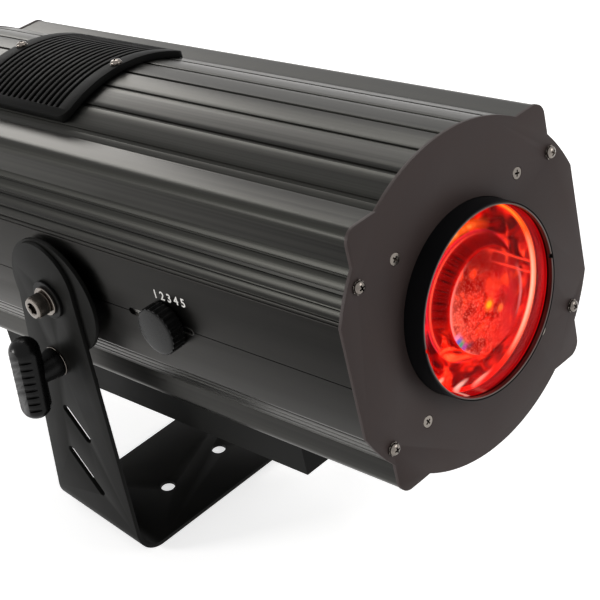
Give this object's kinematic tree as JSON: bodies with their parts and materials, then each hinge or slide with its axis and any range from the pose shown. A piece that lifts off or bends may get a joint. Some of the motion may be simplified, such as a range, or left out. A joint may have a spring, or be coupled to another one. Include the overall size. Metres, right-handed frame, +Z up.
{
  "type": "followspot",
  "caption": "Hand-aimed stage followspot: grooved body with a focusing front lens, vented top and driver box below, hung in a bent steel bracket with a T-handle tilt clamp.",
  "frame": {"origin": "underside of the bracket's base, straight below the tilt axis", "axes": "+Z up, the beam leaves towards -Y (raised 10.5 degrees at rest), the clamp handle and focus knob are on -X"},
  "size_m": [0.2791, 0.5794, 0.3741],
  "materials": {
    "black_anodised": "satin black anodised",
    "black_powder_coat": "fine black powder coat on aluminium sheet",
    "black_steel": "satin black paint on steel",
    "zinc_plate": "bright zinc plate",
    "gloss_black_plastic": "gloss black moulding",
    "dark_nylon": "matt nylon",
    "clear_glass": "clear polished",
    "smoked_window": "smoked acrylic",
    "bare_aluminium": "bare sheet and castings",
    "circuit_board": "solder mask"
  },
  "bodies": {
    "bracket": {"yoke_bracket": "black_steel", "clamp_nut": "zinc_plate"},
    "head": {"pivot_pad_left": "dark_nylon", "pivot_pad_right": "dark_nylon", "pivot_washer_left": "zinc_plate", "pivot_washer_right": "zinc_plate", "pivot_bolt_left": "zinc_plate", "pivot_bolt_right": "zinc_plate", "pivot_block_left": "zinc_plate", "pivot_block_right": "zinc_plate", "pivot_spacer_left": "dark_nylon", "pivot_spacer_right": "dark_nylon", "tilt_quadrant": "black_steel", "housing_upper": "black_anodised", "housing_lower": "black_anodised", "front_plate": "black_powder_coat", "front_screw_1": "zinc_plate", "front_screw_2": "zinc_plate", "front_screw_3": "zinc_plate", "front_screw_4": "zinc_plate", "lens_tube": "black_anodised", "lens_ring": "black_anodised", "front_lens": "clear_glass", "vent_cover": "black_powder_coat", "guide_rod_1": "zinc_plate", "guide_rod_2": "zinc_plate", "optical_tray": "bare_aluminium", "rod_plate": "bare_aluminium", "gate_plate": "bare_aluminium", "wheel_motor": "zinc_plate", "condenser_tube": "bare_aluminium", "condenser_lens": "clear_glass", "emitter_board": "circuit_board", "heat_sink": "bare_aluminium", "fan_frame": "gloss_black_plastic", "driver_box": "black_powder_coat", "lamp_driver": "bare_aluminium", "rear_plate": "black_powder_coat", "display_window": "smoked_window", "control_board": "circuit_board", "power_inlet": "gloss_black_plastic", "power_switch_case": "gloss_black_plastic", "signal_socket_1": "gloss_black_plastic", "signal_socket_2": "gloss_black_plastic", "rear_handle": "black_steel"},
    "clamp": {"clamp_handle": "gloss_black_plastic", "clamp_stud": "zinc_plate"},
    "carriage": {"focus_carriage": "bare_aluminium", "carriage_lens": "clear_glass", "focus_stud": "zinc_plate", "slot_strip": "bare_aluminium"},
    "knob": {"focus_knob": "gloss_black_plastic"},
    "wheel": {"colour_wheel": "bare_aluminium", "wheel_shaft": "zinc_plate"},
    "rotor": {"fan_rotor": "gloss_black_plastic"},
    "button_1": {"menu_button_1": "gloss_black_plastic"},
    "button_2": {"menu_button_2": "gloss_black_plastic"},
    "button_3": {"menu_button_3": "gloss_black_plastic"},
    "button_4": {"menu_button_4": "gloss_black_plastic"},
    "rocker": {"power_rocker": "gloss_black_plastic"}
  },
  "joints": [
    {"name": "head_tilt", "type": "hinge", "parent": "bracket", "child": "head", "pos_m": [0, 0, 0.212], "axis": [1, 0, 0], "range_deg": [-19.5, 25.5]},
    {"name": "clamp_turn", "type": "hinge", "parent": "bracket", "child": "clamp", "pos_m": [-0.1155, 0.006, 0.156], "axis": [-1, 0, 0], "range_deg": [-180, 180]},
    {"name": "focus_slide", "type": "slide", "parent": "head", "child": "carriage", "axis": [0, 0.9833, -0.1822], "range_m": [-0.0214, 0.0364]},
    {"name": "knob_turn", "type": "hinge", "parent": "carriage", "child": "knob", "pos_m": [-0.104, -0.10989, 0.23644], "axis": [-1, 0, 0], "range_deg": [-180, 180]},
    {"name": "wheel_turn", "type": "hinge", "parent": "head", "child": "wheel", "pos_m": [0.038, -0.01593, 0.22207], "axis": [0, 0.9833, -0.1822], "continuous": true},
    {"name": "fan_turn", "type": "hinge", "parent": "head", "child": "rotor", "pos_m": [0, 0.1049, 0.18864], "axis": [0, 0.9833, -0.1822], "continuous": true},
    {"name": "button_1_press", "type": "slide", "parent": "head", "child": "button_1", "axis": [0, -0.9833, 0.1822], "range_m": [0, 0.0015], "stiffness_N_per_m": 500, "springref_m": -0.001},
    {"name": "button_2_press", "type": "slide", "parent": "head", "child": "button_2", "axis": [0, -0.9833, 0.1822], "range_m": [0, 0.0015], "stiffness_N_per_m": 500, "springref_m": -0.001},
    {"name": "button_3_press", "type": "slide", "parent": "head", "child": "button_3", "axis": [0, -0.9833, 0.1822], "range_m": [0, 0.0015], "stiffness_N_per_m": 500, "springref_m": -0.001},
    {"name": "button_4_press", "type": "slide", "parent": "head", "child": "button_4", "axis": [0, -0.9833, 0.1822], "range_m": [0, 0.0015], "stiffness_N_per_m": 500, "springref_m": -0.001},
    {"name": "rocker_tilt", "type": "hinge", "parent": "head", "child": "rocker", "pos_m": [-0.014, 0.21391, 0.13371], "axis": [1, 0, 0], "range_deg": [-18, 0]}
  ]
}
